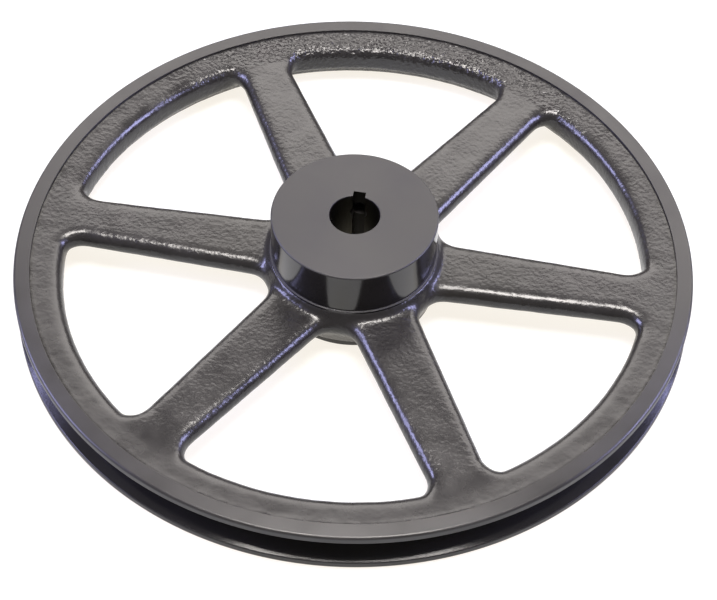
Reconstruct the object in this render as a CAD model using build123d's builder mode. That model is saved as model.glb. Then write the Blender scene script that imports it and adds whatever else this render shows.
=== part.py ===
from build123d import *
import math
import os

# V-belt pulley: one groove, six arms, a one-piece grey iron casting with a finished bore,
# an open keyway and two socket set screws in the long end of its hub.
# Frame: origin on the bore axis, half way across the rim's face (the belt's mid-plane).
# +Z runs along the bore towards the long end of the hub; the keyway lies on +Y.

os.makedirs("parts", exist_ok=True)

INCH = 25.4
RADIUS_TOLERANCE = 0.01
CUT_OVERRUN = 1.0

# Rim and groove
RIM_RADIUS = 10.25 * INCH / 2
RIM_HALF_WIDTH = 0.75 * INCH / 2
RIM_EDGE_BREAK = 0.5
GROOVE_TOP_WIDTH = 12.7
GROOVE_ANGLE = 38.0
GROOVE_DEPTH = 12.2
TURNED_FACE_INNER_RADIUS = 124.0
TURNED_FACE_STEP = 0.9

# Arms and the windows between them. The arms lie above the mid-plane, on the hub's long side.
ARM_COUNT = 6
ARM_TOP = 8.0
ARM_BOTTOM = -0.5
ARM_WIDTH_AT_HUB = 25.9
ARM_WIDTH_AT_RIM = 20.9
WINDOW_INNER_RADIUS = 35.8
WINDOW_OUTER_RADIUS = 113.5
WINDOW_CORNER_RADIUS = 8.0
ARM_TOP_ROUNDING = 4.5
ARM_BOTTOM_ROUNDING = 3.8
WEB_RADIUS = 117.4

# Inside of the rim: a wall that hides the arms' root, undercut below towards the lower flange
RIM_WALL_RADIUS = 112.0
RIM_WALL_BOTTOM = -1.6
UNDERCUT_RADIUS = 114.75
UNDERCUT_TOP = -3.2
UNDERCUT_BOTTOM = -5.6
LOWER_FLANGE_ROOT = (118.0, -8.1)

# Hub
HUB_RADIUS = 2.5 * INCH / 2
HUB_LENGTH = 1.5625 * INCH
HUB_EDGE_BREAK = 0.6
COLLAR_TOP_RADIUS = 32.4
COLLAR_ABOVE_RIM_FACE = 2.0
COLLAR_PARTING_RADIUS = 35.8
COLLAR_FOOT_RADIUS = 32.0
COLLAR_FOOT_ABOVE_HUB_END = 1.5

# Bore and keyway (3/4 in shaft, 3/16 in square key)
BORE_RADIUS = 0.75 * INCH / 2
BORE_EDGE_BREAK = 0.8
KEY_WIDTH = INCH * 3 / 16
KEYWAY_ROOF = 11.73

# Set screws: 1/4-20 UNC, cup point, 1/8 in hexagon socket
SCREW_RADIUS = INCH / 8
SCREW_LENGTH = INCH / 2
SCREW_CLEARANCE = 0.05
SCREW_BELOW_HUB_FACE = 9.0
SCREW_END_CHAMFER = 0.6
SCREW_POINT_LENGTH = 1.4
SCREW_POINT_RADIUS = 2.0
SCREW_CUP_RADIUS = 1.6
SCREW_CUP_DEPTH = 0.8
SOCKET_ACROSS_FLATS = INCH / 8
SOCKET_DEPTH = 4.5
SCREW_TIP_CLEAR_OF_SHAFT = 2.0
KEY_TOP = 11.6

HUB_BOTTOM = -RIM_HALF_WIDTH
HUB_TOP = HUB_BOTTOM + HUB_LENGTH
COLLAR_TOP = RIM_HALF_WIDTH + COLLAR_ABOVE_RIM_FACE
COLLAR_FOOT = HUB_BOTTOM + COLLAR_FOOT_ABOVE_HUB_END
PARTING_HEIGHT = (ARM_TOP + ARM_BOTTOM) / 2
SCREW_HEIGHT = HUB_TOP - SCREW_BELOW_HUB_FACE
GROOVE_BOTTOM_RADIUS = RIM_RADIUS - GROOVE_DEPTH
GROOVE_BOTTOM_HALF = GROOVE_TOP_WIDTH / 2 - GROOVE_DEPTH * math.tan(math.radians(GROOVE_ANGLE / 2))

# Tip radius at rest, measured from the bore axis: both points stand clear of shaft and key.
SIDE_SCREW_TIP = BORE_RADIUS + SCREW_TIP_CLEAR_OF_SHAFT
KEY_SCREW_TIP = KEY_TOP + SCREW_TIP_CLEAR_OF_SHAFT

# The screws point at the bore axis: local +Z of each plane runs outwards.
KEY_SCREW_PLANE = Plane(origin=(0, 0, SCREW_HEIGHT), x_dir=(1, 0, 0), z_dir=(0, 1, 0))
SIDE_SCREW_PLANE = Plane(origin=(0, 0, SCREW_HEIGHT), x_dir=(0, 1, 0), z_dir=(-1, 0, 0))


# Turned half of the rim's section, from the groove's floor round to the step inside the face
TURNED_OUTLINE = [
    (GROOVE_BOTTOM_RADIUS, GROOVE_BOTTOM_HALF),
    (RIM_RADIUS, GROOVE_TOP_WIDTH / 2),
    (RIM_RADIUS, RIM_HALF_WIDTH - RIM_EDGE_BREAK),
    (RIM_RADIUS - RIM_EDGE_BREAK, RIM_HALF_WIDTH),
    (TURNED_FACE_INNER_RADIUS, RIM_HALF_WIDTH),
    (TURNED_FACE_INNER_RADIUS, RIM_HALF_WIDTH - TURNED_FACE_STEP),
]
turned_outline_below = [(radius, -height) for radius, height in reversed(TURNED_OUTLINE)]

# Cast inside of the rim below its rounded top edge, down to the lower flange
CAST_OUTLINE = [
    (RIM_WALL_RADIUS, ARM_TOP - ARM_TOP_ROUNDING),
    (RIM_WALL_RADIUS, RIM_WALL_BOTTOM),
    (UNDERCUT_RADIUS, UNDERCUT_TOP),
    (UNDERCUT_RADIUS, UNDERCUT_BOTTOM),
    LOWER_FLANGE_ROOT,
]

# The rounded top edge of that wall
INNER_EDGE_TOP = (RIM_WALL_RADIUS + ARM_TOP_ROUNDING, ARM_TOP)
INNER_EDGE_CENTRE = (RIM_WALL_RADIUS + ARM_TOP_ROUNDING, ARM_TOP - ARM_TOP_ROUNDING)


def distance_from_axis(edge):
    """How far an edge's middle stands from the bore axis."""
    return math.hypot(edge.center().X, edge.center().Y)


# Web plate pierced by six windows: what is left between the windows is the arms.
with BuildSketch() as windows:
    Circle(WINDOW_OUTER_RADIUS)
    Circle(WINDOW_INNER_RADIUS, mode=Mode.SUBTRACT)
    with PolarLocations(0, ARM_COUNT):
        Polygon(
            (0, -ARM_WIDTH_AT_HUB / 2),
            (WINDOW_INNER_RADIUS, -ARM_WIDTH_AT_HUB / 2),
            (WINDOW_OUTER_RADIUS, -ARM_WIDTH_AT_RIM / 2),
            (WEB_RADIUS, -ARM_WIDTH_AT_RIM / 2),
            (WEB_RADIUS, ARM_WIDTH_AT_RIM / 2),
            (WINDOW_OUTER_RADIUS, ARM_WIDTH_AT_RIM / 2),
            (WINDOW_INNER_RADIUS, ARM_WIDTH_AT_HUB / 2),
            (0, ARM_WIDTH_AT_HUB / 2),
            align=None,
            mode=Mode.SUBTRACT,
        )

with BuildPart() as casting:
    with BuildSketch(Plane.XY.offset(ARM_BOTTOM)):
        Circle(WEB_RADIUS)
    extrude(amount=ARM_TOP - ARM_BOTTOM)
    with BuildSketch(Plane.XY.offset(ARM_BOTTOM)):
        add(windows.sketch)
    extrude(amount=ARM_TOP - ARM_BOTTOM, mode=Mode.SUBTRACT)
    window_corners = casting.edges().filter_by(Axis.Z).filter_by(
        lambda edge: distance_from_axis(edge) < WINDOW_OUTER_RADIUS + RADIUS_TOLERANCE
    )
    fillet(window_corners, WINDOW_CORNER_RADIUS)
    window_edges = casting.edges().filter_by(Plane.XY).filter_by(lambda edge: not edge.is_closed)
    fillet(window_edges.group_by(Axis.Z)[-1], ARM_TOP_ROUNDING)
    window_edges = casting.edges().filter_by(Plane.XY).filter_by(lambda edge: not edge.is_closed)
    fillet(window_edges.group_by(Axis.Z)[0], ARM_BOTTOM_ROUNDING)

    # Rim: turned faces and groove outside, cast wall and undercut inside
    with BuildSketch(Plane.XZ):
        with BuildLine():
            Polyline(*CAST_OUTLINE, *turned_outline_below, *TURNED_OUTLINE, INNER_EDGE_TOP)
            CenterArc(INNER_EDGE_CENTRE, ARM_TOP_ROUNDING, 90, 90)
        make_face()
    revolve(axis=Axis.Z)

    # Cast collar at the foot of the hub, drafted both ways from the mould's parting line
    with BuildSketch(Plane.XZ):
        with BuildLine():
            Polyline(
                (0, COLLAR_TOP),
                (COLLAR_TOP_RADIUS, COLLAR_TOP),
                (COLLAR_PARTING_RADIUS, PARTING_HEIGHT),
                (COLLAR_FOOT_RADIUS, COLLAR_FOOT),
                (0, COLLAR_FOOT),
                close=True,
            )
        make_face()
    revolve(axis=Axis.Z)

    # Hub barrel, faced at both ends
    with BuildSketch(Plane.XY.offset(HUB_BOTTOM)):
        Circle(HUB_RADIUS)
    extrude(amount=HUB_LENGTH)
    hub_circles = casting.edges().filter_by(GeomType.CIRCLE).filter_by(
        lambda edge: abs(edge.radius - HUB_RADIUS) < RADIUS_TOLERANCE
    )
    chamfer(hub_circles.group_by(Axis.Z)[0] + hub_circles.group_by(Axis.Z)[-1], HUB_EDGE_BREAK)

    # Bore with broken edges, then the keyway cut through the hub's whole length
    with Locations((0, 0, HUB_TOP)):
        Hole(BORE_RADIUS, depth=HUB_LENGTH)
    bore_rims = casting.edges().filter_by(GeomType.CIRCLE).filter_by(
        lambda edge: abs(edge.radius - BORE_RADIUS) < RADIUS_TOLERANCE
    )
    chamfer(bore_rims, BORE_EDGE_BREAK)
    with BuildSketch(Plane.XY.offset(HUB_BOTTOM)):
        Rectangle(KEY_WIDTH, KEYWAY_ROOF, align=(Align.CENTER, Align.MIN))
    extrude(amount=HUB_LENGTH, mode=Mode.SUBTRACT)

    # Set screw holes, from the bore out through the hub's side
    for screw_plane in (KEY_SCREW_PLANE, SIDE_SCREW_PLANE):
        with BuildSketch(screw_plane):
            Circle(SCREW_RADIUS + SCREW_CLEARANCE)
        extrude(amount=HUB_RADIUS + CUT_OVERRUN, mode=Mode.SUBTRACT)

casting.part.label = "pulley_casting"
export_step(casting.part, "parts/pulley_casting.step")


def set_screw(name, plane, tip):
    """A headless socket set screw whose cup point stands at radius `tip` on `plane`'s axis."""
    outer = tip + SCREW_LENGTH
    section_plane = Plane(origin=plane.origin, x_dir=plane.x_dir, z_dir=plane.x_dir.cross(plane.z_dir))
    with BuildPart() as screw:
        with BuildSketch(section_plane):
            with BuildLine():
                Polyline(
                    (0, tip + SCREW_CUP_DEPTH),
                    (SCREW_CUP_RADIUS, tip),
                    (SCREW_POINT_RADIUS, tip),
                    (SCREW_RADIUS, tip + SCREW_POINT_LENGTH),
                    (SCREW_RADIUS, outer - SCREW_END_CHAMFER),
                    (SCREW_RADIUS - SCREW_END_CHAMFER, outer),
                    (0, outer),
                    close=True,
                )
            make_face()
        revolve(axis=Axis(plane.origin, plane.z_dir))
        with BuildSketch(plane.offset(outer - SOCKET_DEPTH)):
            RegularPolygon(SOCKET_ACROSS_FLATS / 2, 6, major_radius=False)
        extrude(amount=SOCKET_DEPTH, mode=Mode.SUBTRACT)
    screw.part.label = name
    export_step(screw.part, f"parts/{name}.step")
    return screw.part


set_screw("set_screw_over_keyway", KEY_SCREW_PLANE, KEY_SCREW_TIP)
set_screw("set_screw_side", SIDE_SCREW_PLANE, SIDE_SCREW_TIP)
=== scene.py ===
# %% [markdown]
# # A V-belt pulley in painted grey iron
#
# The real pulley is one sand casting: a rim, six arms and a hub poured in one piece. A lathe then
# cut the groove, the rim's faces and the hub, and dark enamel covered both kinds of surface. The
# lesson starts with what the lathe finished, which is clean turned shapes. Then come the skin that
# the sand left, the two set screws, the finishes and the studio.

# %% Load the frame
import math

import bmesh
import bpy
from mathutils import Matrix, Vector, noise


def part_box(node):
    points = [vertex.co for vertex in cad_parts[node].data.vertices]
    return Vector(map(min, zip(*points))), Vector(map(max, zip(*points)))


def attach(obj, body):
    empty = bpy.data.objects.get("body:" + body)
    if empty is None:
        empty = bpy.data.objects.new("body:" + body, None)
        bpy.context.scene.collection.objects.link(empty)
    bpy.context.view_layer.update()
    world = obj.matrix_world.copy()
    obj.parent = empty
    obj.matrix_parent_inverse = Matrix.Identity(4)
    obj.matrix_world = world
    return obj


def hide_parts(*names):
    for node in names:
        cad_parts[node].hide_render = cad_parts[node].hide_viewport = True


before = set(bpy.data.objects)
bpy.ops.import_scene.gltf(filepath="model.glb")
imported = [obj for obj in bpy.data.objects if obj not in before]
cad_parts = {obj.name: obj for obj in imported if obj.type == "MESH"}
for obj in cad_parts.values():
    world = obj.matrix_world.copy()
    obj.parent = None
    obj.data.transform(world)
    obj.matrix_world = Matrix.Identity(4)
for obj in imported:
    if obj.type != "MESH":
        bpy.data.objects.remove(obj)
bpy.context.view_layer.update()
MM = 0.001

# %% [markdown]
# ## Sizes
#
# The rim's radius and width and the hub's height come from the frame. The rest are the depths of
# cut that the turner chose, written as they would be on a drawing. Z runs along the bore and is
# zero in the middle of the rim, and the keyway lies on +Y.

# %% Driving sizes
casting_low, casting_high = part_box("pulley_casting")
RIM_RADIUS = casting_high.x
RIM_HALF_WIDTH = -casting_low.z
FACE_INNER_RADIUS = 124.0 * MM
GROOVE_DEPTH = 12.2 * MM
GROOVE_TOP_HALF = 6.35 * MM
GROOVE_ANGLE = 38
GROOVE_FLOOR_RADIUS = RIM_RADIUS - GROOVE_DEPTH
GROOVE_FLOOR_HALF = GROOVE_TOP_HALF - GROOVE_DEPTH * math.tan(math.radians(GROOVE_ANGLE / 2))

HUB_TOP = casting_high.z
HUB_BOTTOM = -RIM_HALF_WIDTH
HUB_RADIUS = 31.75 * MM
BORE_RADIUS = 9.525 * MM
COLLAR_TOP = RIM_HALF_WIDTH + 2.0 * MM
KEY_WIDTH = 4.7625 * MM
KEYWAY_ROOF = 11.73 * MM
SCREW_HEIGHT = HUB_TOP - 9.0 * MM
print("rim", round(RIM_RADIUS / MM, 2), "hub top", round(HUB_TOP / MM, 2), "mm")

# %% [markdown]
# ## Helpers for turned parts
#
# A lathe makes a surface of revolution, so a turned part is its section, spun a full turn with
# `use_merge` so that the last ring joins the first. Doubles are merged before the normals are
# recalculated, or the seam would confuse them. Corners are then broken with a bevel on the rings
# that run through them, as a turner breaks them with a file.

# %% Spin and bevel
FULL_TURN = 2 * math.pi
MERGE_DISTANCE = 0.001 * MM
RING_TOLERANCE = 0.02 * MM


def spin_section(bm, section, steps):
    """Spin (radius, height) points about Z; a section that starts on the axis ends on it too."""
    verts = [bm.verts.new((radius, 0, height)) for radius, height in section]
    starts_on_axis = section[0][0] == 0
    edges = [
        bm.edges.new((verts[i - 1], verts[i])) for i in range(int(starts_on_axis), len(verts))
    ]
    bmesh.ops.spin(
        bm, geom=verts + edges, cent=(0, 0, 0), axis=(0, 0, 1), dvec=(0, 0, 0), angle=FULL_TURN,
        steps=steps, use_merge=True, use_duplicate=False,
    )
    bmesh.ops.remove_doubles(bm, verts=bm.verts, dist=MERGE_DISTANCE)
    bmesh.ops.recalc_face_normals(bm, faces=bm.faces)


def on_ring(vert, radius, height):
    """Whether a vertex lies on the ring with this radius and height."""
    off_radius = abs(math.hypot(vert.co.x, vert.co.y) - radius)
    return off_radius < RING_TOLERANCE and abs(vert.co.z - height) < RING_TOLERANCE


def bevel_rings(bm, corners, width, segments=3):
    """Break the ring edges that run through the given (radius, height) corners."""
    rings = [
        edge for edge in bm.edges
        if any(all(on_ring(vert, *corner) for vert in edge.verts) for corner in corners)
    ]
    bmesh.ops.bevel(
        bm, geom=rings, offset=width, segments=segments, profile=0.5, affect="EDGES", material=-1,
        clamp_overlap=True,
    )


# %% [markdown]
# A finished bmesh becomes an object at the origin. Beside a wide flat face a small bevel bends
# smooth shading far across the face, so the turned pieces get weighted normals: the large faces
# decide how their own corners are shaded, and the bevels follow.

# %% From bmesh to piece
SMOOTH_ANGLE = 30
SHARP_ANGLE = 35


def piece_from(bm, name, smooth_angle=SMOOTH_ANGLE):
    """Turn a bmesh into a piece at the origin, smooth except across sharp corners."""
    mesh = bpy.data.meshes.new(name)
    bm.to_mesh(mesh)
    bm.free()
    mesh.shade_smooth()
    mesh.set_sharp_from_angle(angle=math.radians(smooth_angle))
    piece = bpy.data.objects.new(name, mesh)
    bpy.context.collection.objects.link(piece)
    print(name, len(mesh.polygons), "faces")
    return piece


def flatten_faces(piece):
    """Let the large flat faces rule the shading of the small bevels beside them."""
    piece.data.shade_smooth()
    piece.data.set_sharp_from_angle(angle=math.radians(SHARP_ANGLE))
    weighted = piece.modifiers.new("weighted_normals", "WEIGHTED_NORMAL")
    weighted.keep_sharp = True


# %% [markdown]
# Holes and slots that cross a turned surface are cut with a boolean, and the cutter is thrown
# away afterwards like a worn tool. Where two edges all but meet, the boolean leaves slivers, and
# merging them keeps the mesh closed.

# %% Cutting
SLIVER_MERGE = 0.005 * MM
SLIVER_LENGTH = 0.002 * MM


def apply_modifiers(piece):
    """Replace the piece's mesh by what its modifiers make of it."""
    graph = bpy.context.evaluated_depsgraph_get()
    graph.update()
    baked = bpy.data.meshes.new_from_object(piece.evaluated_get(graph))
    piece.modifiers.clear()
    piece.data = baked


def clean(piece):
    """Merge the slivers that a boolean leaves where two edges all but meet."""
    bm = bmesh.new()
    bm.from_mesh(piece.data)
    bmesh.ops.remove_doubles(bm, verts=bm.verts, dist=SLIVER_MERGE)
    bmesh.ops.dissolve_degenerate(bm, edges=bm.edges, dist=SLIVER_LENGTH)
    bm.to_mesh(piece.data)
    bm.free()


def cut(piece, cutter, operation="DIFFERENCE"):
    """Apply a boolean with the cutter, then throw the cutter away."""
    modifier = piece.modifiers.new("cut", "BOOLEAN")
    modifier.operation = operation
    modifier.solver = "EXACT"
    modifier.object = cutter
    apply_modifiers(piece)
    clean(piece)
    bpy.data.objects.remove(cutter)


# %% [markdown]
# ## The turned rim
#
# The groove, the outside diameter and a flat band on each face are cut metal. Their section is
# spun here as a ring whose inner side ends inside the cast metal, so no seam shows. The band's
# inner edge stands a little above the cast skin, which gives the dark step line round the rim.
# The outer edges are well rounded: that is where a thin bright line runs along the real rim.

# %% Turned rim
RIM_STEPS = 360
EDGE_ROUNDING = 1.1 * MM
GROOVE_MOUTH_ROUNDING = 0.4 * MM
GROOVE_FLOOR_ROUNDING = 0.6 * MM
BAND_EDGE_BREAK = 0.2 * MM
ROOT_RADIUS = 116.8 * MM
turned_outline = [
    (FACE_INNER_RADIUS, RIM_HALF_WIDTH),
    (RIM_RADIUS, RIM_HALF_WIDTH),
    (RIM_RADIUS, GROOVE_TOP_HALF),
    (GROOVE_FLOOR_RADIUS, GROOVE_FLOOR_HALF),
    (GROOVE_FLOOR_RADIUS, -GROOVE_FLOOR_HALF),
    (RIM_RADIUS, -GROOVE_TOP_HALF),
    (RIM_RADIUS, -RIM_HALF_WIDTH),
    (FACE_INNER_RADIUS, -RIM_HALF_WIDTH),
]
inside_the_casting = [
    (FACE_INNER_RADIUS, -7.9 * MM),
    (119.5 * MM, -6.9 * MM),
    (ROOT_RADIUS, -4.5 * MM),
    (ROOT_RADIUS, 5.0 * MM),
    (FACE_INNER_RADIUS, 7.4 * MM),
]
bm = bmesh.new()
spin_section(bm, turned_outline + inside_the_casting, RIM_STEPS)
for radius, half_width, width, segments in (
    (RIM_RADIUS, RIM_HALF_WIDTH, EDGE_ROUNDING, 5),
    (RIM_RADIUS, GROOVE_TOP_HALF, GROOVE_MOUTH_ROUNDING, 3),
    (GROOVE_FLOOR_RADIUS, GROOVE_FLOOR_HALF, GROOVE_FLOOR_ROUNDING, 3),
    (FACE_INNER_RADIUS, RIM_HALF_WIDTH, BAND_EDGE_BREAK, 2),
):
    bevel_rings(bm, [(radius, half_width), (radius, -half_width)], width, segments)
turned_rim = piece_from(bm, "turned_rim")
flatten_faces(turned_rim)

# %% [markdown]
# ## The turned hub
#
# The hub is turned outside, faced at both ends and bored through, so it is spun with its bore.
# The tool that turned the barrel stopped just above the collar and left a small lip there, which
# catches the light as a ring. The lip is part of the same section.

# %% Turned hub
HUB_STEPS = 192
LIP_RADIUS = HUB_RADIUS + 0.7 * MM
LIP_FOOT = COLLAR_TOP - 1 * MM
hub_section = [
    (BORE_RADIUS, HUB_TOP),
    (HUB_RADIUS, HUB_TOP),
    (HUB_RADIUS, COLLAR_TOP),
    (LIP_RADIUS, COLLAR_TOP),
    (LIP_RADIUS, LIP_FOOT),
    (HUB_RADIUS, LIP_FOOT),
    (HUB_RADIUS, HUB_BOTTOM),
    (BORE_RADIUS, HUB_BOTTOM),
]
bm = bmesh.new()
spin_section(bm, hub_section, HUB_STEPS)
bevel_rings(bm, [(HUB_RADIUS, HUB_TOP), (HUB_RADIUS, HUB_BOTTOM)], 0.7 * MM)
bevel_rings(bm, [(HUB_RADIUS, COLLAR_TOP)], 0.25 * MM)
bevel_rings(bm, [(LIP_RADIUS, COLLAR_TOP)], 0.35 * MM, 4)
bevel_rings(bm, [(BORE_RADIUS, HUB_TOP), (BORE_RADIUS, HUB_BOTTOM)], 0.6 * MM, 2)
turned_hub = piece_from(bm, "turned_hub")

# %% [markdown]
# A broach pulled through the bore cut the keyway, and a tap drill made the two screw holes, one
# over the keyway and one a quarter turn away. A block and two cylinders do the same here. Both
# run well past the metal, because a cutter that ends on a surface leaves a thin skin.

# %% Keyway and screw holes
BROACH_OVERRUN = 30 * MM
bm = bmesh.new()
bmesh.ops.create_cube(bm, size=1)
broach_size = (KEY_WIDTH, KEYWAY_ROOF, 2 * (HUB_TOP + BROACH_OVERRUN))
bmesh.ops.scale(bm, vec=broach_size, verts=bm.verts)
bmesh.ops.translate(bm, vec=(0, KEYWAY_ROOF / 2, 0), verts=bm.verts)
cut(turned_hub, piece_from(bm, "keyway_broach"))

SCREW_HOLE_RADIUS = 3.225 * MM
DRILL_OVERRUN = 2 * MM
QUARTER_BACK = math.radians(-90)
SCREW_TURNS = {
    "set_screw_over_keyway": Matrix.Rotation(QUARTER_BACK, 4, "X"),
    "set_screw_side": Matrix.Rotation(QUARTER_BACK, 4, "Y"),
}
drill_length = HUB_RADIUS + DRILL_OVERRUN
for turn in SCREW_TURNS.values():
    bm = bmesh.new()
    bmesh.ops.create_cone(
        bm, cap_ends=True, segments=64, radius1=SCREW_HOLE_RADIUS, radius2=SCREW_HOLE_RADIUS,
        depth=drill_length,
    )
    bmesh.ops.translate(bm, vec=(0, 0, drill_length / 2), verts=bm.verts)
    place = Matrix.Translation((0, 0, SCREW_HEIGHT)) @ turn
    bmesh.ops.transform(bm, matrix=place, verts=bm.verts)
    cut(turned_hub, piece_from(bm, "tap_drill"))
flatten_faces(turned_hub)
print("turned_hub with its cuts", len(turned_hub.data.polygons), "faces")

# %% [markdown]
# ## The cast skin
#
# Sand leaves no sharp corner: arms, collar and rim run into each other with fillets, and the skin
# is pebbly. The shape comes from a copy of the casting in the frame. All that the lathe finished
# is trimmed away by keeping only what lies inside a spun zone. Its outline runs just under the
# turned faces, so the skin ends inside the turned pieces and its own cut edge is never seen.

# %% Trim a copy of the casting to what the sand made
KEEP_STEPS = 240
FACET_MERGE = 0.002 * MM
bm = bmesh.new()
bm.from_mesh(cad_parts["pulley_casting"].data)
bmesh.ops.remove_doubles(bm, verts=bm.verts, dist=FACET_MERGE)
cast_skin = piece_from(bm, "cast_skin")

over_collar_and_arms = [(28.0, 11.3), (46.0, 11.3), (46.0, 9.0), (125.5, 8.95)]
behind_the_groove = [(125.5, 6.4), (117.3, 3.4), (117.3, -3.4), (125.5, -6.4)]
under_arms_and_collar = [(125.5, -8.95), (33.0, -8.95), (32.0, -6.95), (28.0, -6.95)]
keep_zone = over_collar_and_arms + behind_the_groove + under_arms_and_collar
bm = bmesh.new()
spin_section(bm, [(radius * MM, height * MM) for radius, height in keep_zone], KEEP_STEPS)
cut(cast_skin, piece_from(bm, "keep_zone"), "INTERSECT")
print("trimmed casting", len(cast_skin.data.polygons), "faces")

# %% [markdown]
# A voxel remesh turns the trimmed solid into an even skin of small squares. Smoothing that skin a
# few times pulls the corners in and leaves small fillets, as sand does. The voxel is as coarse as
# the fillets allow, because a finer one needs more passes and more faces for the same look.

# %% Remesh and melt the corners
VOXEL = 1.06 * MM
SMOOTH_PASSES = 4
remesh = cast_skin.modifiers.new("remesh", "REMESH")
remesh.mode = "VOXEL"
remesh.voxel_size = VOXEL
apply_modifiers(cast_skin)
bm = bmesh.new()
bm.from_mesh(cast_skin.data)
for _ in range(SMOOTH_PASSES):
    bmesh.ops.smooth_vert(
        bm, verts=bm.verts, factor=0.5, use_axis_x=True, use_axis_y=True, use_axis_z=True
    )
print("melted skin", len(bm.verts), "vertices")

# %% [markdown]
# The sand's print has two sizes in the mesh: soft waves 7 mm across, where the mould was rammed
# harder or softer, and lumps of 2.6 mm. Both are under a tenth of a millimetre high. The noise is
# read at each vertex and moves it along its normal, so the pattern is the same on every run.

# %% Grain
GRAIN_SIZES_AND_HEIGHTS = ((7.0, 0.08), (2.6, 0.04))
bm.normal_update()
for vert in bm.verts:
    depth = sum(
        height * noise.noise(vert.co / (size * MM)) for size, height in GRAIN_SIZES_AND_HEIGHTS
    )
    vert.co += vert.normal * depth * MM
bm.to_mesh(cast_skin.data)
bm.free()
cast_skin.data.shade_smooth()
print("cast_skin", round(2 * len(cast_skin.data.polygons) / 1000), "k triangles")

# %% [markdown]
# ## The set screws
#
# Each is a headless 1/4-20 screw with a hexagon socket at its outer end and a cup at its point.
# The core is spun with its section closed on the axis, and a six-sided punch sinks the socket.

# %% Screw core
SCREW_RADIUS = 3.175 * MM
SCREW_LENGTH = 12.7 * MM
THREAD_DEPTH = 0.72 * MM
CORE_RADIUS = SCREW_RADIUS - THREAD_DEPTH
CUP_RADIUS = 1.6 * MM
CUP_DEPTH = 0.8 * MM
POINT_RADIUS = 2.0 * MM
POINT_LENGTH = 0.6 * MM
END_BREAK_ALONG = 0.3 * MM
END_BREAK_ACROSS = 0.2 * MM
SOCKET_FLATS = 3.175 * MM
SOCKET_DEPTH = 4.5 * MM
TURN_STEPS = 36


def screw_core():
    """Core with chamfered ends, a cup point at height 0 and a hexagon socket at the top."""
    section = [
        (0, CUP_DEPTH), (CUP_RADIUS, 0), (POINT_RADIUS, 0), (CORE_RADIUS, POINT_LENGTH),
        (CORE_RADIUS, SCREW_LENGTH - END_BREAK_ALONG),
        (CORE_RADIUS - END_BREAK_ACROSS, SCREW_LENGTH), (0, SCREW_LENGTH),
    ]
    bm = bmesh.new()
    spin_section(bm, section, TURN_STEPS)
    core = piece_from(bm, "screw_core")
    bm = bmesh.new()
    to_corner = SOCKET_FLATS / math.sqrt(3)
    bmesh.ops.create_cone(
        bm, cap_ends=True, segments=6, radius1=to_corner, radius2=to_corner, depth=SOCKET_DEPTH * 2
    )
    bmesh.ops.translate(bm, vec=(0, 0, SCREW_LENGTH), verts=bm.verts)
    cut(core, piece_from(bm, "socket_punch"))
    return core


print("screw core", round(CORE_RADIUS / MM, 3), "by", SCREW_LENGTH / MM, "mm")

# %% [markdown]
# A thread is a section that turns while it moves along the axis, and `spin` does both at once
# when `dvec` gives the step of each turn. The ridge is laid round the core and sinks a little
# into it, which saves a boolean that would be slow and fragile on a surface this fine.

# %% Thread
THREAD_PITCH = 1.27 * MM
THREAD_START = 1.0 * MM
PLAIN_LENGTH = 2.4 * MM
RIDGE_SINK = 0.1 * MM
RIDGE_FOOT_WIDTH = 0.98 * THREAD_PITCH
CREST_FROM, CREST_TO = 0.42 * THREAD_PITCH, 0.56 * THREAD_PITCH


def thread_ridge(bm):
    """A V ridge wound round the core, with a narrow flat crest."""
    turns = (SCREW_LENGTH - PLAIN_LENGTH) / THREAD_PITCH
    steps = round(turns * TURN_STEPS)
    foot = SCREW_RADIUS - THREAD_DEPTH - RIDGE_SINK
    section = [
        (foot, THREAD_START), (foot, THREAD_START + RIDGE_FOOT_WIDTH),
        (SCREW_RADIUS, THREAD_START + CREST_TO), (SCREW_RADIUS, THREAD_START + CREST_FROM),
    ]
    verts = [bm.verts.new((radius, 0, height)) for radius, height in section]
    first = bm.faces.new(verts)
    bmesh.ops.spin(
        bm, geom=[first], cent=(0, 0, 0), axis=(0, 0, 1),
        dvec=(0, 0, turns * THREAD_PITCH / steps), angle=turns * FULL_TURN, steps=steps,
        use_merge=False, use_duplicate=False,
    )


print("thread", round((SCREW_LENGTH - PLAIN_LENGTH) / THREAD_PITCH, 1), "turns")

# %% [markdown]
# Both screws are made standing on their points at the origin, then laid along their holes. How
# far each tip stands from the bore's axis is read from the frame's own screws.

# %% Lay the screws in their holes
SCREW_FINE_ANGLE = 25
screws = {}
for name, turn in SCREW_TURNS.items():
    low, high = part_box(name)
    tip = min(abs(c) for c in (low.x, high.x, low.y, high.y) if abs(c) > 2 * SCREW_RADIUS)
    core = screw_core()
    bm = bmesh.new()
    bm.from_mesh(core.data)
    bpy.data.objects.remove(core)
    thread_ridge(bm)
    place = Matrix.Translation((0, 0, SCREW_HEIGHT)) @ turn @ Matrix.Translation((0, 0, tip))
    bmesh.ops.transform(bm, matrix=place, verts=bm.verts)
    bmesh.ops.recalc_face_normals(bm, faces=bm.faces)
    screws[name] = piece_from(bm, name + "_threaded", SCREW_FINE_ANGLE)
    print(name, "tip at", round(tip / MM, 2), "mm")

# %% [markdown]
# ## Finishes
#
# Every finish is a small node tree on Object coordinates, which are metres here, so a pattern's
# size on the real pulley sets its scale directly. One function adds a node with its settings and
# links, and one turns a hex colour into the linear values that the shader needs.

# %% Node and colour helpers


def linear(hex_colour):
    """sRGB hex to linear RGBA."""
    values = [int(hex_colour[i:i + 2], 16) / 255 for i in (1, 3, 5)]
    curved = [v / 12.92 if v <= 0.04045 else ((v + 0.055) / 1.055) ** 2.4 for v in values]
    return curved + [1.0]


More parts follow.
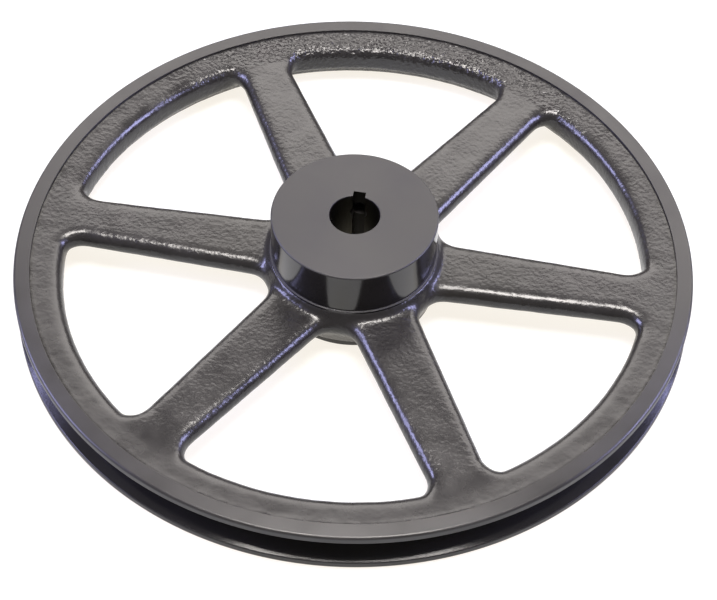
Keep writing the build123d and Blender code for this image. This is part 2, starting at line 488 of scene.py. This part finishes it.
def add(tree, kind, inputs=None, **settings):
    """Add a node; inputs maps its sockets to values or to sockets of other nodes."""
    made = tree.nodes.new(kind)
    for key, value in settings.items():
        setattr(made, key, value)
    for key, value in (inputs or {}).items():
        if isinstance(value, bpy.types.NodeSocket):
            tree.links.new(value, made.inputs[key])
        else:
            made.inputs[key].default_value = value
    return made


def new_finish(name):
    """An empty material, its node tree and its Object coordinates."""
    material = bpy.data.materials.new(name)
    material.use_nodes = True
    tree = material.node_tree
    tree.nodes.clear()
    place = add(tree, "ShaderNodeTexCoord")
    return material, tree, place.outputs["Object"]


def end_with_shader(tree, inputs):
    """Close a finish with one Principled shader."""
    shader = add(tree, "ShaderNodeBsdfPrincipled", inputs)
    add(tree, "ShaderNodeOutputMaterial", {"Surface": shader.outputs[0]})


# %% [markdown]
# The patterns share a few steps: noise with features of a given size, a value moved to another
# range, a tint between two colours, a bump of a given depth, and a sum or product.

# %% Pattern helpers
MIX_A, MIX_B, MIX_COLOUR = 6, 7, 2


def per_mm(size):
    """Texture scale that gives features of about this many millimetres."""
    return 1 / (size * MM)


def speckle(tree, place, size_mm, detail):
    """Noise in space."""
    inputs = {"Vector": place, "Scale": per_mm(size_mm), "Detail": detail}
    return add(tree, "ShaderNodeTexNoise", inputs).outputs[0]


def rings_along(tree, distance, size_mm):
    """Noise along one distance only, which draws rings or bands across it."""
    inputs = {"W": distance, "Scale": per_mm(size_mm), "Detail": 2.0}
    return add(tree, "ShaderNodeTexNoise", inputs, noise_dimensions="1D").outputs[0]


def remap(tree, value, from_range, to_range=(0, 1)):
    """Move a value from one range to another and hold it at the ends."""
    inputs = {
        "Value": value, "From Min": from_range[0], "From Max": from_range[1],
        "To Min": to_range[0], "To Max": to_range[1],
    }
    return add(tree, "ShaderNodeMapRange", inputs).outputs[0]


def tint_between(tree, factor, dark, light):
    """A colour between two hex colours."""
    inputs = {"Factor": factor, MIX_A: linear(dark), MIX_B: linear(light)}
    return add(tree, "ShaderNodeMix", inputs, data_type="RGBA").outputs[MIX_COLOUR]


def bump(tree, height, depth, **under):
    """A bump of this depth in metres; Normal= puts it over another bump."""
    inputs = {"Height": height, "Strength": 1.0, "Distance": depth, **under}
    return add(tree, "ShaderNodeBump", inputs).outputs[0]


def reckon(tree, operation, *values):
    """Arithmetic on values or sockets."""
    return add(tree, "ShaderNodeMath", dict(enumerate(values)), operation=operation).outputs[0]


def cross(tree, first, second):
    """The direction square to two others."""
    inputs = {0: first, 1: second}
    return add(tree, "ShaderNodeVectorMath", inputs, operation="CROSS_PRODUCT").outputs[0]


def from_the_axis(tree, place):
    """The offset from the bore's axis as a vector, and its length."""
    flat = add(tree, "ShaderNodeMapping", {"Vector": place, "Scale": (1, 1, 0)}).outputs[0]
    length = add(tree, "ShaderNodeVectorMath", {0: flat}, operation="LENGTH").outputs["Value"]
    return flat, length


# %% [markdown]
# ### Satin enamel on turned iron
#
# The lathe's feed leaves rings too fine to count, about a tenth of a millimetre apart. They are
# drawn ten times coarser so that they show. Rings smear a reflection across themselves, so the
# shader is anisotropic and its tangent runs across the rings: at each point, along the rim is the
# cross product of Z and the offset from the axis, and across the rings is square to that and to
# the surface. It holds on flat faces and on the outer cylinder alike.
#
# The enamel is close to black. What looks grey is the studio mirrored in it, so the roughness
# matters more than the colour: satin on the rim, duller on the faced hub, and near gloss on the
# hub's side and in the groove, where the tool cut finer and the windows between the arms mirror
# as clear shapes.

# %% Turned enamel
ENAMEL_IOR = 1.5
NOISE_MIDDLE = (0.3, 0.7)
BRUSH_SKIN_MM = 0.9
BRUSH_SKIN_DEPTH = 0.008 * MM
SMEAR_MM = 18
DULL_AND_CLEAR = (0.85, 1.2)


def turned_enamel(name, roughness, ring_mm, ring_height_mm, stretch):
    """Near-black satin enamel over turning rings round the bore's axis."""
    material, tree, place = new_finish(name)
    flat, radius = from_the_axis(tree, place)
    facing = add(tree, "ShaderNodeNewGeometry").outputs["Normal"]
    across_rings = cross(tree, cross(tree, (0, 0, 1), flat), facing)
    smear = speckle(tree, place, SMEAR_MM, 3.0)
    ring_bump = bump(tree, rings_along(tree, radius, ring_mm), ring_height_mm * MM)
    skin = speckle(tree, place, BRUSH_SKIN_MM, 3.0)
    end_with_shader(tree, {
        "Base Color": tint_between(tree, smear, "#191817", "#211f1e"),
        "Roughness": remap(tree, smear, NOISE_MIDDLE, [roughness * k for k in DULL_AND_CLEAR]),
        "Normal": bump(tree, skin, BRUSH_SKIN_DEPTH, Normal=ring_bump),
        "IOR": ENAMEL_IOR,
        "Anisotropic": stretch,
        "Tangent": across_rings,
    })
    print(name, "roughness", roughness)
    return material


enamel_turned = turned_enamel("satin_enamel_on_turned_iron", 0.36, 1.0, 0.008, 0.62)
enamel_faced = turned_enamel("satin_enamel_on_faced_iron", 0.5, 1.4, 0.004, 0.25)
enamel_turned_fine = turned_enamel("gloss_enamel_on_fine_turned_iron", 0.14, 1.0, 0.0, 0.0)

# %% [markdown]
# ### Satin enamel on the cast skin
#
# The same enamel over sand grains of one to two millimetres, which sparkle where they face a
# lamp. The mesh carries the larger lumps, and a bump adds the grain that is too fine for it. Sand
# never prints evenly: its depth varies in patches of 14 mm, the rim on the keyway's side came out
# coarser, and the rim across from it calmer.

# %% Cast enamel
SAND_MM = 1.6
SAND_DEPTH = 0.26 * MM
PATCH_MM = 14
PATCHY_SAND = (0.35, 0.85)
COARSE_RIM_SAND = 2.2
CALM_RIM = 0.75
RIM_STARTS = (110 * MM, 114 * MM)
COARSE_SIDE = (75 * MM, 105 * MM)
CALM_SIDE = (20 * MM, -60 * MM)

enamel_cast, tree, place = new_finish("satin_enamel_on_sand_cast_iron")
patches = speckle(tree, place, PATCH_MM, 3.0)
towards_keyway = add(tree, "ShaderNodeSeparateXYZ", {"Vector": place}).outputs["Y"]
on_rim = remap(tree, from_the_axis(tree, place)[1], RIM_STARTS)
coarse = reckon(tree, "MULTIPLY", on_rim, remap(tree, towards_keyway, COARSE_SIDE))
calm_side = remap(tree, towards_keyway, CALM_SIDE, (0, CALM_RIM))
calm = reckon(tree, "SUBTRACT", 1.0, reckon(tree, "MULTIPLY", on_rim, calm_side))
patchy = remap(tree, patches, (0.35, 0.65), PATCHY_SAND)
sand = reckon(
    tree, "MULTIPLY_ADD", coarse, COARSE_RIM_SAND, reckon(tree, "MULTIPLY", patchy, calm)
)
grain = reckon(tree, "MULTIPLY", speckle(tree, place, SAND_MM, 1.0), sand)
end_with_shader(tree, {
    "Base Color": tint_between(tree, patches, "#181716", "#211f1d"),
    "Roughness": remap(tree, patches, NOISE_MIDDLE, (0.22, 0.34)),
    "Normal": bump(tree, grain, SAND_DEPTH),
    "IOR": ENAMEL_IOR,
})
print(enamel_cast.name, len(tree.nodes), "nodes")

# %% [markdown]
# ### Bored and broached iron
#
# The bore is bare grey iron under a film of oil, with fine rings across its axis from the boring
# bar: dark, but with a long soft shine. The broach tears more than it cuts, so the keyway is
# duller. Its colour is also painted much darker than the bore's, as painted shade for the deep
# slot, so it reads as a black slot.

# %% Bare iron
BORING_RING_MM = 0.8
BORING_RING_DEPTH = 0.02 * MM
bored_iron, tree, place = new_finish("oiled_bored_grey_iron")
along_bore = add(tree, "ShaderNodeSeparateXYZ", {"Vector": place}).outputs["Z"]
end_with_shader(tree, {
    "Base Color": linear("#35322a"),
    "Metallic": 1.0,
    "Roughness": 0.36,
    "Normal": bump(tree, rings_along(tree, along_bore, BORING_RING_MM), BORING_RING_DEPTH),
})

# The keyway's near-black colour is painted shade for the slot; its higher roughness is the broached
# finish.
broached_iron_painted_shade, tree, place = new_finish("oiled_broached_iron_with_painted_shade")
end_with_shader(tree, {"Base Color": linear("#1c1a16"), "Metallic": 1.0, "Roughness": 0.5})
print(bored_iron.name, broached_iron_painted_shade.name)

# %% [markdown]
# ### Black oxide steel
#
# The screws are steel blackened in a hot salt bath, which keeps the metal's shine but takes most
# of its light. Handling scuffs it finely, so the roughness wanders.

# %% Black oxide
SCUFF_MM = 0.7
black_oxide, tree, place = new_finish("black_oxide_alloy_steel")
scuffs = speckle(tree, place, SCUFF_MM, 4.0)
end_with_shader(tree, {
    "Base Color": tint_between(tree, scuffs, "#202124", "#303236"),
    "Metallic": 1.0,
    "Roughness": remap(tree, scuffs, NOISE_MIDDLE, (0.28, 0.45)),
})
print(black_oxide.name)

# %% [markdown]
# ### Which surface gets which finish
#
# The skin and the screws have one finish each. The rim has two, and the hub has four: its faces,
# its side, the bore and the keyway. Where a face stands and which way it looks tell them apart,
# so no selection has to be stored.

# %% Finishes of the rim, the skin and the screws
RIM_FACES, GROOVE = 0, 1
GROOVE_STARTS = RIM_RADIUS - 0.4 * MM
for material in (enamel_turned, enamel_turned_fine):
    turned_rim.data.materials.append(material)
for polygon in turned_rim.data.polygons:
    centre = polygon.center
    radius = math.hypot(centre.x, centre.y)
    in_groove = abs(centre.z) < GROOVE_TOP_HALF and radius < GROOVE_STARTS
    polygon.material_index = GROOVE if in_groove else RIM_FACES
cast_skin.data.materials.append(enamel_cast)
for screw in screws.values():
    screw.data.materials.append(black_oxide)
print(sum(p.material_index == GROOVE for p in turned_rim.data.polygons), "faces in the groove")

# %% Finishes of the hub
HUB_FACES, HUB_SIDE, BORE, KEYWAY = 0, 1, 2, 3
LEVEL_ENOUGH = 0.3
SIDE_STARTS = HUB_RADIUS - 1 * MM
KEYWAY_STARTS = BORE_RADIUS + 0.3 * MM
for material in (enamel_faced, enamel_turned_fine, bored_iron, broached_iron_painted_shade):
    turned_hub.data.materials.append(material)
for polygon in turned_hub.data.polygons:
    radius = math.hypot(polygon.center.x, polygon.center.y)
    if abs(polygon.normal.z) > LEVEL_ENOUGH:
        polygon.material_index = HUB_FACES
    elif radius > SIDE_STARTS:
        polygon.material_index = HUB_SIDE
    elif radius > KEYWAY_STARTS:
        polygon.material_index = KEYWAY
    else:
        polygon.material_index = BORE
print(sum(p.material_index == KEYWAY for p in turned_hub.data.polygons), "faces in the keyway")

# %% [markdown]
# ## Ride and replace
#
# The three pieces of the casting ride on the pulley and stand for the one cast node, as they are
# one piece of iron. Each screw rides on its own body, so it travels along its hole.

# %% Ride
for piece in (turned_rim, turned_hub, cast_skin):
    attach(piece, "pulley")
    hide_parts("pulley_casting")
for name, body in (("set_screw_over_keyway", "keyway_screw"), ("set_screw_side", "side_screw")):
    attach(screws[name], body)
    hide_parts(name)
print("riding:", turned_rim.name, turned_hub.name, cast_skin.name, *screws)

# %% [markdown]
# ## Studio
#
# The pulley lies on a white table that glows a little, as a lit acrylic sheet does. The glow washes
# out the shadows and is what the hub's side mirrors between the arms.

# %% Floor
FLOOR_HALF_SIZE = 5.0
FLOOR_GAP = 0.02 * MM
bm = bmesh.new()
bmesh.ops.create_grid(bm, x_segments=1, y_segments=1, size=FLOOR_HALF_SIZE)
bmesh.ops.translate(bm, vec=(0, 0, casting_low.z - FLOOR_GAP), verts=bm.verts)
floor = piece_from(bm, "white_table")
white_table, tree, place = new_finish("lit_white_acrylic")
end_with_shader(tree, {
    "Base Color": (0.16, 0.18, 0.20, 1), "Roughness": 0.9, "Specular IOR Level": 0.0,
    "Emission Color": (0.90, 0.85, 0.77, 1), "Emission Strength": 1.0,
})
floor.data.materials.append(white_table)

# %% [markdown]
# A black shiny thing shows its surroundings, so each light is placed by what it mirrors in. A wide
# low panel behind the pulley fills the flat faces, a bright panel almost overhead makes the
# sparkle on near edges, and a cool panel on each side draws the blue lines on rounded edges. A
# panel's energy is its radiance times pi times its area, so a size can change and the brightness
# of its reflection stays.

# %% Lights
CAMERA_SIDE = math.radians(-81)
WARM = (1.0, 0.95, 0.91)
COOL = (0.55, 0.55, 1.0)


def aim(thing, target):
    """Turn a light so that it looks at the target."""
    thing.rotation_euler = (target - thing.location).to_track_quat("-Z", "Y").to_euler()


def panel(name, azimuth, elevation, distance, size, radiance, tint):
    """A soft panel aimed at the pulley. azimuth is counted from the side away from the camera."""
    light = bpy.data.lights.new(name, "AREA")
    light.shape = "RECTANGLE"
    light.size, light.size_y = size
    light.energy = radiance * math.pi * size[0] * size[1]
    light.color = tint
    thing = bpy.data.objects.new(name, light)
    turn = CAMERA_SIDE + math.pi - math.radians(azimuth)
    rise = math.radians(elevation)
    direction = (math.cos(turn) * math.cos(rise), math.sin(turn) * math.cos(rise), math.sin(rise))
    thing.location = distance * Vector(direction)
    aim(thing, Vector((0, 0, 0)))
    thing.visible_camera = False
    bpy.context.collection.objects.link(thing)
    print(name, round(light.energy, 1), "W")


# name, azimuth and elevation in degrees, distance and size in metres, radiance, tint
panel("back_panel", 10, 38, 1.2, (1.8, 0.54), 4.9, WARM)
panel("overhead_panel", 180, 88, 1.0, (0.55, 0.36), 30.0, WARM)
panel("cool_panel_left", -86, 31, 0.9, (0.50, 0.30), 23.0, COOL)
panel("cool_panel_right", 86, 31, 0.9, (0.50, 0.30), 23.0, COOL)

# %% [markdown]
# A dim warm surround lifts what no panel reaches. The Standard view keeps the white table white,
# where a film-like view would grey it.

# %% Surround
world = bpy.data.worlds.new("studio")
world.use_nodes = True
surround = world.node_tree.nodes["Background"]
surround.inputs["Color"].default_value = (1.0, 0.95, 0.9, 1)
surround.inputs["Strength"].default_value = 0.3
bpy.context.scene.world = world
bpy.context.scene.view_settings.view_transform = "Standard"
print("surround", surround.inputs["Strength"].default_value)

# %% [markdown]
# ## Camera
#
# The camera looks down at the pulley at 49 degrees from nearly three of its own widths away, on
# the side opposite the keyway. It is built from three directions: ahead, right and up. Two small
# angles then move its aim off the centre, and the last one rolls it about its line of sight.

# %% Camera
CAMERA_DISTANCE = 728.3 * MM
CAMERA_ELEVATION = math.radians(49.19)
AIM_UP = math.radians(-1.50)
AIM_RIGHT = math.radians(0.17)
ROLL = math.radians(1.22)
RIM_FACE = Vector((0, 0, RIM_HALF_WIDTH))
UP = Vector((0, 0, 1))

camera = bpy.data.objects.new("camera", bpy.data.cameras.new("camera"))
camera.data.lens = 95.0
camera.data.sensor_width = 36.0
outward = Vector((math.cos(CAMERA_SIDE), math.sin(CAMERA_SIDE), 0))
stand = CAMERA_DISTANCE * (
    outward * math.cos(CAMERA_ELEVATION) + UP * math.sin(CAMERA_ELEVATION)
)
ahead = -stand.normalized()
right = ahead.cross(UP).normalized()
up = right.cross(ahead)
look = (
    ahead * math.cos(AIM_UP) * math.cos(AIM_RIGHT)
    + right * math.sin(AIM_RIGHT) * math.cos(AIM_UP)
    + up * math.sin(AIM_UP)
)
level_right = look.cross(up).normalized()
level_up = level_right.cross(look)
tilt_right = math.cos(ROLL) * level_right + math.sin(ROLL) * level_up
tilt_up = -math.sin(ROLL) * level_right + math.cos(ROLL) * level_up
turn = Matrix((tilt_right, tilt_up, -look)).transposed().to_4x4()
camera.matrix_world = Matrix.Translation(RIM_FACE + stand) @ turn
bpy.context.collection.objects.link(camera)
bpy.context.scene.camera = camera
print("camera at", [round(c, 3) for c in camera.location], "m")
